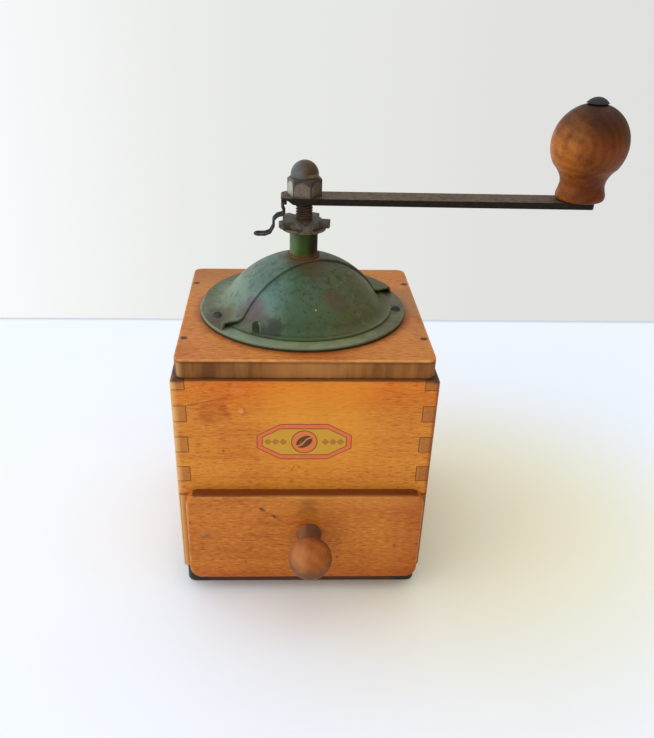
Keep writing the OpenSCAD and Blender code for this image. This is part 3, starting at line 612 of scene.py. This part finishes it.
def board_marks(f, colour, rough):
    """Brown sawn edges, dirt and painted shade along the dome's flange, dirt round the nails, and a grey
    stain.
    """
    x, y, z = f.x / MM, f.y / MM, f.z / MM - BOARD_TOP
    side = z.step(-0.6, -1.2)
    cloud = f.noise(75, (1, 1, 0.3), 4, 0.6, 31.0)
    streak = f.noise(420, (1, 1, 0.06), 2, 0.5, 34.0)
    share = cloud.step(0.34, 0.68) * 0.75 + streak.step(0.35, 0.65) * 0.25
    sawn = f.mix(share, tone(116, 70, 28), tone(174, 114, 54))
    sawn = f.mix(abs(x + 1).step(24, 6) * 0.55, sawn, tone(184, 118, 58))
    sawn = f.times(x.step(-8, -50) * 0.5, sawn, tone(214, 192, 164))
    sawn = f.times(x.step(12, 30) * 0.8, sawn, tone(236, 224, 200))
    sawn = f.mix(x.step(-53.6, -56.6) * 0.75, sawn, tone(196, 146, 90))
    sawn = f.mix(z.step(-0.9, -1.2) * z.step(-2.4, -1.5) * 0.45, sawn, tone(70, 40, 18))
    sawn = f.mix((z + (streak - 0.5) * 0.6).step(-8.2, -9.0) * 0.8, sawn, tone(54, 30, 14))
    soot = x.step(-56.6, -57.6) * (z + cloud * 4).step(0.5, -2.5) * y.step(-20, -52)
    sawn = f.mix(soot * 0.85, sawn, tone(58, 38, 34))
    colour = f.mix(side, colour, sawn)
    # A darker ring round the flange: dirt and painted shade where the flange meets the board.
    ring = f.from_axis() + (f.noise(120, detail=3, seed=32.0) - 0.5) * 5
    colour = f.times(ring.step(55, 50.5) * (1 - side) * 0.55, colour, tone(170, 138, 112))
    grey = f.far_from(57, 8, BOARD_TOP) + (f.noise(80, detail=3, seed=33.0) - 0.5) * 16
    colour = f.mix(grey.step(26, 6) * (1 - side) * 0.5, colour, tone(156, 116, 78))
    front = f.far_from(6, -54, BOARD_TOP) + (f.noise(110, detail=3, seed=35.0) - 0.5) * 14
    colour = f.times(front.step(20, 6) * (1 - side) * 0.35, colour, tone(204, 156, 120))
    shade = f.far_from(-46, 48, BOARD_TOP) + (f.noise(80, detail=3, seed=36.0) - 0.5) * 16
    colour = f.times(shade.step(34, 8) * (1 - side) * 0.8, colour, tone(222, 230, 212))
    for nail_x in (-55.2, 55.2):
        for nail_y in (-35, 35):
            stain = f.spot((nail_x, nail_y, BOARD_TOP), 2.6, 0.8, nail_x + nail_y)
            colour = f.mix(stain * (1 - side) * 0.5, colour, DIRT)
    return colour, rough + side * 0.2


def turned_wood(name, light, dark, seed, centre, more=None):
    """Stained, handled wood turned on a lathe: faint growth rings about an axis that leans across it."""
    f = Finish(name, Specular_IOR_Level=0.14)
    bend = f.noise(90, detail=2, seed=seed)
    x, y, z = (axis / MM - c for axis, c in zip((f.x, f.y, f.z), centre))
    ring = ((x + y * 0.35) ** 2 + (z * 0.9 - y * 0.2) ** 2) ** 0.5 * 1.7 + bend * 7
    rings = ring.sine() * 0.5 + 0.5
    pores = f.noise(1300, (1, 0.08, 1), 3, 0.6, seed + 1)
    grime = f.noise(110, detail=4, rough=0.6, seed=seed + 2)
    colour = f.mix(rings * 0.35 + pores.step(0.35, 0.7) * 0.4, light, dark)
    colour = f.times(grime.step(0.44, 0.70) * 0.7, colour, tone(180, 144, 118))
    rough = 0.36 + grime * 0.22
    if more:
        colour, rough = more(f, colour, rough)
    return f.coat(colour, rough, height=pores * 0.6 + rings * 0.1, depth=0.1, strength=0.3)


def grip_marks(f, colour, rough):
    """A grip dark with handling on its crown and foot, darker on its right side as painted shade, with a
    pale scratch on its waist.
    """
    crown = (f.z / MM + (f.noise(130, detail=3, seed=44.0) - 0.5) * 8).step(204, 218)
    colour = f.times(crown * 0.9, colour, tone(136, 142, 142))
    foot = (f.z / MM + (f.noise(130, detail=3, seed=45.0) - 0.5) * 5).step(197, 188)
    colour = f.times(foot * 0.4, colour, tone(190, 160, 126))
    # Painted shade: the grip darker on its right side, away from the light.
    shaded_side = (f.x / MM + (f.noise(100, detail=2, seed=47.0) - 0.5) * 8).step(106, 125)
    colour = f.times(shaded_side, colour, tone(152, 130, 90))
    scratch = f.far_from(118.5, -12.5, 197.5).step(1.6, 0.5)
    return f.mix(scratch * 0.35, colour, tone(196, 148, 100)), rough


def ball_marks(f, colour, rough):
    """Grey dirt where fingers hold the drawer's knob behind its ball, a painted sheen at the ball's left
    and painted shade on its lower half.
    """
    dirt = (f.y / MM + (f.noise(170, detail=3, seed=43.0) - 0.5) * 18).step(-88, -79)
    colour = f.mix(dirt * 0.8, colour, tone(88, 62, 48))
    # Paler at the ball's left: a painted sheen.
    colour = f.mix((f.x / MM).step(3, -2) * 0.3, colour, tone(206, 142, 96))
    # Darker on the ball's lower half: painted shade.
    under = (f.z / MM + (f.noise(150, detail=3, seed=46.0) - 0.5) * 6).step(42, 32)
    return f.mix(under * 0.85, colour, tone(96, 64, 40)), rough + dirt * 0.15


def black_stain(name, node):
    """Wood stained black, rubbed brown at its edges."""
    low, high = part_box(node)
    f = Finish(name, Specular_IOR_Level=0.35)
    pores = f.noise(1200, (0.03, 1, 1), 3, 0.6, 51.0)
    rub = f.from_edge(low, high) + (f.noise(200, detail=3, seed=52.0) - 0.5) * 2
    colour = f.mix(pores, tone(34, 28, 24), tone(56, 46, 38))
    colour = f.mix(rub.step(1.0, 0.1) * 0.5, colour, tone(98, 68, 46))
    middle = abs(f.x / MM + (f.noise(60, detail=2, seed=53.0) - 0.5) * 14).step(52, 42)
    colour = f.mix(middle * 0.8, colour, tone(104, 58, 26))
    return f.coat(colour, 0.5 + pores * 0.2, height=pores, depth=0.1, strength=0.4)


# Paint and metal


def green_paint(name, seed, more=None, shine=0.3):
    """Old green enamel, blue-green at the left to olive at the right, with soft brown mottling and a
    painted highlight in pale grey-green at the far left.
    """
    f = Finish(name, Specular_IOR_Level=shine)
    x, z = f.x / MM, f.z / MM
    drift = (f.noise(34, detail=3, rough=0.55, seed=seed) - 0.5) * 26
    # Pale grey-green at the far left: a painted highlight of the light from the left.
    colour = f.mix((x + drift).step(-34, -20), tone(118, 134, 114), tone(78, 110, 98))
    colour = f.mix((z + drift * 0.3).step(140, 150) * 0.7, colour, tone(90, 108, 86))
    colour = f.mix((x + drift).step(-18, -3), colour, tone(61, 87, 55))
    colour = f.mix((x + drift).step(0, 26), colour, tone(87, 88, 46))
    mottle = f.noise(120, detail=4, rough=0.62, seed=seed + 1)
    brown = mottle.step(0.46, 0.72) * (0.2 + x.step(-20, 10) * 0.35)
    colour = f.mix(brown, colour, tone(84, 78, 56))
    pale = f.noise(210, detail=4, rough=0.65, seed=seed + 4).step(0.54, 0.74)
    colour = f.mix(pale * 0.22, colour, tone(132, 140, 124))
    high = z.step(134, 150) * 0.05
    freckle = (f.noise(300, detail=4, rough=0.7, seed=seed + 2) + high).step(0.50, 0.74)
    colour = f.mix(freckle * 0.5, colour, tone(50, 54, 32))
    chip = (f.noise(620, detail=2, seed=seed + 5) + high * 1.5).step(0.62, 0.70)
    colour = f.mix(chip * (x + drift).step(-24, -6) * 0.6, colour, tone(44, 44, 24))
    rough = 0.40 + mottle * 0.2 + freckle * 0.15
    if more:
        colour, rough = more(f, colour, rough)
    dents = f.noise(70, detail=1, seed=seed + 3)
    height = dents * 3 + mottle * 0.4 - freckle * 0.3
    return f.coat(colour, rough, height=height, depth=0.14, strength=0.45)


def dome_marks(f, colour, rough):
    """Paint worn to grey by the lug, brown stains, rust round the neck, a painted shadow of the lug at
    the foot, and painted highlights on the hem's edge and on the sheet's cut edges at the left.
    """
    ragged = f.noise(170, detail=4, rough=0.6, seed=61.0) - 0.5
    speck = f.noise(420, detail=3, rough=0.7, seed=63.0)
    patch = f.far_from(-24, -26, 134.5) + ragged * 14
    colour = f.mix(patch.step(14, 9) * 0.25, colour, tone(132, 150, 138))
    worn = patch.step(10, 5) * (0.65 + speck.step(0.35, 0.6) * 0.35)
    colour = f.mix(worn, colour, tone(103, 90, 96))
    # A painted shadow of the lug, dark on the dome beside it.
    dirt = f.far_from(-15.5, -37, 130) + (f.noise(260, detail=3, seed=62.0) - 0.5) * 10
    colour = f.mix(dirt.step(8, 3) * 0.8, colour, tone(46, 42, 34))
    lug = f.far_from(-22.6, -36.2, 132)
    colour = f.mix(lug.step(4.4, 3.0) * 0.85, colour, tone(44, 44, 22))
    # A painted highlight along the hem's edge at the dome's foot.
    edge = (abs(f.from_axis() - 42.9) + ragged).step(1.3, 0.5) * (f.z / MM).step(129.7, 129.3)
    colour = f.mix(edge * 0.3, colour, tone(124, 130, 100))
    moss = (f.far_from(10, -18, 147) + ragged * 16).step(24, 8)
    moss = moss * f.noise(190, detail=4, rough=0.7, seed=69.0).step(0.46, 0.62)
    colour = f.mix(moss * 0.55, colour, tone(50, 50, 26))
    stains = (
        (14.8, -26.5, 141.3, 8, 0.75),
        (4, -10, 151.5, 12, 0.6),
        (27, -14, 143, 9, 0.3),
        (-40, -20, 131, 11, 0.6),
        (45, 4, 131, 8, 0.5),
    )
    for x, y, z, radius, share in stains:
        stain = f.far_from(x, y, z) + ragged * 8
        colour = f.mix(stain.step(radius, radius * 0.45) * share, colour, tone(80, 64, 40))
    colour = f.mix(f.spot((5.1, -32.3, 138.8), 0.8), colour, tone(220, 220, 200))
    neck = f.from_axis() + (f.noise(260, detail=3, seed=64.0) - 0.5) * 3
    colour = f.mix(neck.step(12.5, 8) * 0.7, colour, tone(98, 76, 52))
    low = (f.z / MM + ragged * 6).step(141, 131)
    colour = f.times(low * 0.8, colour, tone(230, 226, 186))
    # The sheet's cut edges paler at the left: a painted highlight that softens the shadow line of the
    # step between the halves.
    cut = f.add("Attribute", {"attribute_name": "cut"}, out="Fac").step(0.4, 0.8)
    colour = f.mix(cut * (f.x / MM).step(-2, -16) * 0.75, colour, tone(146, 164, 148))
    rim = (f.from_axis() + ragged * 3).step(40.5, 45.5) * (f.x / MM).step(-12, -30)
    colour = f.times(rim * 0.9, colour, tone(200, 188, 172))
    return colour, rough + worn * 0.06


def flange_marks(f, colour, rough):
    """A flange rubbed pale on its top, paler at its front with rubbing and a painted highlight, rusty by
    the screws, and black on the skirt under its rim as a painted shadow.
    """
    rub = f.noise(140, detail=4, rough=0.6, seed=73.0).step(0.44, 0.66)
    colour = f.mix(0.35 + rub * 0.4, colour, tone(132, 136, 96))
    # Paler at the front: rubbing, and a painted highlight where light catches the rim's top.
    colour = f.mix((f.y / MM).step(-38, -47) * 0.45, colour, tone(134, 138, 98))
    colour = f.times((f.x / MM).step(18, 40) * 0.8, colour, tone(206, 190, 186))
    # Black on the skirt below the flange's rim: a painted shadow of the gap under it.
    colour = f.mix((f.z / MM).step(127.4, 126.9) * 0.9, colour, tone(20, 18, 15))
    rust = f.spot((45.5, -2, 128), 5.5, 2.2, 74.0, soft=0.8)
    return f.mix(rust * 0.8, colour, tone(60, 44, 30)), rough


def neck_marks(f, colour, rough):
    """Pale green at the left as a painted highlight and dark towards the right as painted shade, with the
    paint rubbed to brown-grey at the right, and rust at the foot.
    """
    x = f.x / MM + (f.noise(200, detail=3, seed=66.0) - 0.5) * 3
    # Pale green at the left: painted highlight; dark green to dark brown towards the right: painted
    # shade, with rubbed paint at the right.
    colour = f.mix(x.step(-6, -1) * 0.9, f.mix(0.8, colour, tone(106, 130, 84)), tone(50, 66, 20))
    colour = f.mix(x.step(0.5, 4.5) * 0.95, colour, tone(40, 29, 12))
    foot = (f.z / MM + (f.noise(260, detail=2, seed=67.0) - 0.5) * 2).step(156, 154)
    return f.mix(foot * 0.8, colour, tone(104, 66, 38)), rough


# Clean, stained and rusted tones of the mill's metals
DARK = (tone(98, 86, 70), tone(66, 58, 46), tone(84, 58, 38))
RUSTY = (tone(114, 100, 80), tone(72, 60, 46), tone(108, 68, 38))
PLAIN = (tone(150, 146, 138), tone(110, 106, 98), tone(110, 78, 52))
IRON = (tone(96, 94, 92), tone(60, 58, 58), tone(92, 64, 44))


def steel(name, clean, stained, rust, rust_from, seed, rough=0.5, metal=0.25, more=None, shine=0.4):
    """Old handled steel: dull oxide, worn spots and brown rust in patches."""
    f = Finish(name, Specular_IOR_Level=shine)
    patch = f.noise(210, detail=4, rough=0.6, seed=seed)
    grit = f.noise(1500, detail=3, rough=0.6, seed=seed + 1)
    worn = f.noise(520, detail=3, rough=0.55, seed=seed + 2)
    red = (patch + (grit - 0.5) * 0.35).step(rust_from, rust_from + 0.16)
    colour = f.mix(worn.step(0.38, 0.66), clean, stained)
    colour = f.mix(red, colour, rust)
    rough = rough + red * 0.3 + grit * 0.12
    if more:
        colour, rough = more(f, colour, rough)
    return f.coat(
        colour,
        rough,
        metal=(1 - red) * metal,
        height=grit * 0.5 + red * 0.5,
        depth=0.1,
        strength=0.45,
    )


def arm_marks(f, colour, rough):
    """Brown oxide on the arm, with painted shade: darker on its upright sides and black along their lower
    edges.
    """
    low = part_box("crank_arm")[0].z / MM
    side = f.add("Attribute", {"attribute_name": "side"}, out="Fac")
    colour = f.times(1.0, colour, tone(255, 228, 192))
    # Painted shade: the arm's upright sides darker than its top.
    colour = f.times(side, colour, tone(100, 92, 60))
    # Painted shade: black along the arm's lower edges.
    return f.mix((f.z / MM).step(low + 0.9, low + 0.3) * 0.85, colour, tone(24, 19, 15)), rough


def cap_marks(f, colour, rough):
    """Flats painted pale at the left as a highlight and dark at the right as shade, between dark corners
    and bevels, and a dome that is half grey, half brown.
    """
    flat, hex_top = 7.0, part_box("cap_nut")[0].z / MM + 8.1
    x, z, r = f.x / MM, f.z / MM - hex_top, f.from_axis()
    ragged = (f.noise(420, detail=3, seed=88.0) - 0.5) * 1.6
    colour = f.mix(0.6, colour, tone(106, 95, 78))
    # Pale flats at the left: painted highlight; darker flats at the right: painted shade.
    colour = f.mix((x + ragged).step(-4.6, -6.2) * 0.85, colour, tone(180, 178, 158))
    colour = f.mix((x + ragged).step(3.0, 4.6) * 0.7, colour, tone(88, 72, 46))
    dark = ((r - flat) * 2.2 + (z + 1.6) * 0.9).most((r - flat - 0.8) * 4) + ragged
    colour = f.mix(dark.step(-0.3, 0.7) * 0.85, colour, tone(50, 34, 26))
    colour = f.mix(z.step(-6.9, -7.7) * 0.7, colour, tone(52, 34, 18))
    crown = f.mix((x + z * 0.3 + ragged * 2.5).step(-3.5, 4), tone(86, 88, 80), tone(72, 46, 18))
    band = (abs(z - 1.4) + ragged * 0.4).step(1.1, 0.3) * x.step(0, 3)
    crown = f.mix(band * 0.6, crown, tone(122, 100, 76))
    crown = f.mix(z.step(0.7, 0.1) * 0.7, crown, tone(44, 30, 20))
    return f.mix(z.step(-0.2, 0.2), colour, crown), rough


# Case


def dress_case():
    """Finger-jointed walls, top board and base, with eased edges and dirt in the joints."""
    sides = {"left_side": 3.0, "right_side": 4.0}
    for node, seed in sides.items():
        wall = beech(node + "_beech", node, 1, *HONEY, seed, rubbed=PALE_ARRIS, more=side_wall)
        jointed_wall(node, wall)
    front = beech("front_beech", "front_panel", 0, *HONEY, 1.0, more=front_marks)
    jointed_wall("front_panel", front)
    back = beech("back_beech", "back_panel", 0, *HONEY, 2.0, more=back_marks)
    jointed_wall("back_panel", back)
    board = beech(
        "board_beech",
        "top_board",
        0,
        tone(206, 129, 50),
        tone(188, 107, 36),
        6.0,
        rubbed=tone(226, 160, 92),
        more=board_marks,
    )
    work = merged_copy("top_board")
    middle = sum(corner.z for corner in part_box("top_board")) / 2
    ease(work, 0.7, steps=3, keep=lambda e: any(v.co.z > middle for v in e.verts))
    ease(work, 0.25)
    settle(work, "top_board_worn", board, "top_board")
    eased_piece("base_board", black_stain("base_stain", "base_board"), 0.6, steps=3)
    nails = steel("nail_steel", tone(96, 62, 40), tone(66, 42, 28), tone(92, 54, 30), 0.5, 100.0)
    show("top_nails", nails)
    show("base_screws", steel("base_screws_steel", *PLAIN, 0.60, 97.0))


def jointed_wall(node, finish):
    """One wall with its joints eased; the faces in the joints carry an attribute for their dirt."""
    work = merged_copy(node)
    seam = work.faces.layers.float.new("seam")
    corner = (CASE_HALF - 0.6) * MM
    arris = (CASE_HALF - 0.1) * MM

    def upright(e):
        return all(min(abs(v.co.x), abs(v.co.y)) > arris for v in e.verts)

    ease(work, 1.5, steps=3, shortest=2, keep=upright)
    for face in ease(work, 0.3):
        middle = face.calc_center_median()
        face[seam] = 0.0 if min(abs(middle.x), abs(middle.y)) > corner else 1.0
    settle(work, node + "_worn", finish, node)


# Hopper


def half_dome(node, finish):
    """One half of the dome; the faces where its sheet is cut carry an attribute for a painted highlight
    on them.
    """
    work = merged_copy(node)
    ease(work, 0.3, shortest=0.3)
    work.normal_update()
    cut = work.faces.layers.float.new("cut")
    for face in work.faces:
        middle = face.calc_center_median()
        along = Vector((-middle.y, middle.x, 0)).normalized()
        face[cut] = abs(face.normal.dot(along))
    settle(work, node + "_worn", finish, node)


def dress_hopper():
    """The painted dome, its flange and neck, with dark screws and a bare bowl inside."""
    dome = green_paint("dome_enamel", 60.0, dome_marks)
    for node in ("hopper_dome", "shutter"):
        half_dome(node, dome)
    eased_piece("dome_flange", green_paint("flange_enamel", 71.0, flange_marks), 0.2, shortest=0.3)
    eased_piece("neck_tube", green_paint("neck_enamel", 68.0, neck_marks, 0.05), 0.2, shortest=0.2)
    screws = steel("screw_steel", tone(62, 54, 44), tone(34, 30, 26), tone(64, 42, 28), 0.56, 75.0)
    show("dome_screws", screws)
    show("hopper_bowl", steel("bowl_steel", *PLAIN, 0.60, 76.0))


# Adjuster and crank


def dress_crank():
    """Washer, star nut, arm, cap nut, lock wire, rivet, threaded shaft and wooden grip."""
    eased_piece("thrust_washer", steel("washer_steel", *RUSTY, 0.56, 81.0), 0.2, shortest=0.2)
    nut = steel("nut_steel", tone(94, 84, 66), tone(58, 50, 40), tone(100, 66, 40), 0.54, 82.0)
    eased_piece("adjusting_nut", nut, 0.3)
    dress_arm()
    cap = steel("cap_steel", *RUSTY, 0.54, 84.0, rough=0.36, more=cap_marks)
    eased_piece("cap_nut", cap, 0.3, shortest=0.3)
    wire = steel("wire_steel", tone(56, 52, 48), tone(36, 33, 31), tone(56, 42, 32), 0.70, 85.0)
    show("lock_wire", wire)
    black = steel("rivet_black", tone(38, 36, 37), tone(26, 24, 25), tone(40, 33, 29), 0.70, 86.0)
    show("knob_spindle", black)
    screw = steel("thread_steel", tone(70, 54, 41), tone(42, 33, 26), tone(84, 52, 32), 0.46, 87.0)
    thread_shaft(screw)
    turn_grip()


def dress_arm():
    """The crank's arm; its upright faces carry an attribute for painted shade on them."""
    work = merged_copy("crank_arm")
    ease(work, 0.35)
    work.normal_update()
    side = work.faces.layers.float.new("side")
    for face in work.faces:
        face[side] = 1 - abs(face.normal.z)
    oxide = steel("arm_steel", *DARK, 0.58, 83.0, metal=0.15, more=arm_marks, shine=0.2)
    settle(work, "crank_arm_worn", oxide, "crank_arm")


def thread_shaft(finish):
    """The CAD shaft with its plain middle cut out and a core with a wound thread in its place."""
    pitch, crest, core = 1.25, 3.98, 3.2
    start, stop = 164.0, 178.4
    per_turn = 40
    work = merged_copy("shaft")
    for height in (start, stop):
        bmesh.ops.bisect_plane(
            work,
            geom=[*work.verts, *work.edges, *work.faces],
            plane_co=mm(0, 0, height),
            plane_no=(0, 0, 1),
        )
    middle = [f for f in work.faces if start < f.calc_center_median().z / MM < stop]
    bmesh.ops.delete(work, geom=middle, context="FACES")
    bmesh.ops.holes_fill(work, edges=[e for e in work.edges if e.is_boundary], sides=0)
    bmesh.ops.create_cone(
        work,
        cap_ends=True,
        segments=48,
        radius1=core * MM,
        radius2=core * MM,
        depth=(stop - start) * MM,
        matrix=Matrix.Translation(mm(0, 0, (start + stop) / 2)),
    )
    turns = (stop - start) / pitch - 1
    steps = round(turns * per_turn)
    ridge = [(core - 0.1, 0.05), (crest, 0.54), (crest, 0.71), (core - 0.1, 1.2)]
    verts = [work.verts.new(mm(r, 0, start + z)) for r, z in ridge]
    edges = [work.edges.new(pair) for pair in zip(verts, verts[1:] + verts[:1])]
    bmesh.ops.spin(
        work,
        geom=verts + edges,
        cent=(0, 0, 0),
        axis=(0, 0, 1),
        dvec=(0, 0, pitch * turns / steps * MM),
        angle=math.tau * turns,
        steps=steps,
    )
    bmesh.ops.holes_fill(work, edges=[e for e in work.edges if e.is_boundary], sides=4)
    bmesh.ops.recalc_face_normals(work, faces=work.faces)
    settle(work, "shaft_threaded", finish, "shaft", crease=25)


def turn_grip():
    """The crank's wooden knob: a small foot, a waist and a ball, bored for its spindle."""
    low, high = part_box("crank_knob")
    radius = (high.x - low.x) / 2 / MM
    tall = (high.z - low.z) / MM
    bore = 3.3
    middle = tall - math.sqrt(radius**2 - bore**2)
    rim = math.degrees(math.acos(bore / radius))
    foot = [(bore, 0), (9.9, 0), (10.5, 0.3), (10.9, 0.8)]
    waist = [(11.05, 1.4), (11.0, 2.6), (10.35, 4.8), (10.0, 7), (10.3, 9), (11.2, 11), (12.6, 13)]
    ball = ball_run(radius, middle, -33, rim)
    work = lathe([*foot, *smooth_run([*waist, ball[0]]), *ball[1:], (bore, 0)])
    centre = (low + high) / 2
    bmesh.ops.translate(work, verts=work.verts, vec=(centre.x, centre.y, low.z))
    light, dark = tone(206, 125, 50), tone(156, 86, 27)
    core = (centre.x / MM - 10, centre.y / MM - 14, low.z / MM + middle + 1)
    wood = turned_wood("grip_wood", light, dark, 40.0, core, grip_marks)
    settle(work, "crank_knob_turned", wood, "crank_knob")


# Burr set


def dress_burrs():
    """Cast burrs and their bright fasteners, with the darker bridge that guides the shaft."""
    for number, node in enumerate(("burr_ring", "burr_cone")):
        show(node, steel(node + "_iron", *IRON, 0.62, 90.0 + number, metal=0.8))
    for number, node in enumerate(("cone_nut", "cone_pin", "ring_rivets", "bridge_screws")):
        show(node, steel(node + "_steel", *PLAIN, 0.60, 93.0 + number))
    show("bearing_bridge", steel("bridge_steel", *DARK, 0.58, 99.0))


# Drawer


def dress_drawer():
    """Lipped front with rounded edges, plain boards behind it, and a turned knob."""
    face = beech(
        "drawer_beech",
        "drawer_front",
        0,
        tone(208, 123, 39),
        tone(187, 103, 29),
        7.0,
        rubbed=tone(222, 160, 92),
        more=drawer_marks,
    )
    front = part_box("drawer_front")[0].y
    work = merged_copy("drawer_front")
    ease(work, 1.7, steps=4, keep=lambda e: all(v.co.y < front + 0.1 * MM for v in e.verts))
    settle(work, "drawer_front_worn", face, "drawer_front")
    pale = tone(218, 172, 118), tone(196, 146, 92)
    boards = ("drawer_left", "drawer_right", "drawer_back", "drawer_bottom", "drawer_rails")
    for number, node in enumerate(boards):
        grain = 0 if node in ("drawer_back", "drawer_bottom") else 1
        seed = 101.0 + 6 * number
        wood = beech(node + "_beech", node, grain, *pale, seed, gloss=0.55, rubbed=PALE_ARRIS)
        eased_piece(node, wood, 0.3)
    show("drawer_pins", steel("pin_steel", *PLAIN, 0.58, 135.0))
    show("knob_screw", steel("knob_screw_steel", *PLAIN, 0.58, 136.0))
    turn_drawer_knob()


def turn_drawer_knob():
    """The drawer's knob: a foot, a waist and a ball, its axis along -Y."""
    low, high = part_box("drawer_knob")
    radius = (high.x - low.x) / 2 / MM
    reach = (high.y - low.y) / MM
    ball = ball_run(radius, reach - radius, -50, 90)
    waist = [(6.1, 1.0), (5.75, 2.2), (5.55, 4.5), (5.6, 7.5), (5.8, 9.8)]
    work = lathe([(0, 0), (5.7, 0), (6.05, 0.4), *smooth_run([*waist, ball[0]]), *ball[1:]])
    turn = Matrix.Translation(((low.x + high.x) / 2, high.y, (low.z + high.z) / 2))
    bmesh.ops.transform(work, matrix=turn @ Matrix.Rotation(math.pi / 2, 4, "X"), verts=work.verts)
    light, dark = tone(174, 96, 36), tone(134, 68, 22)
    wood = turned_wood("ball_wood", light, dark, 42.0, (-6, -88, 30), ball_marks)
    settle(work, "drawer_knob_turned", wood, "drawer_knob")


stand_camera()
lay_floor()
light_studio()
dress_case()
dress_hopper()
dress_crank()
dress_burrs()
dress_drawer()
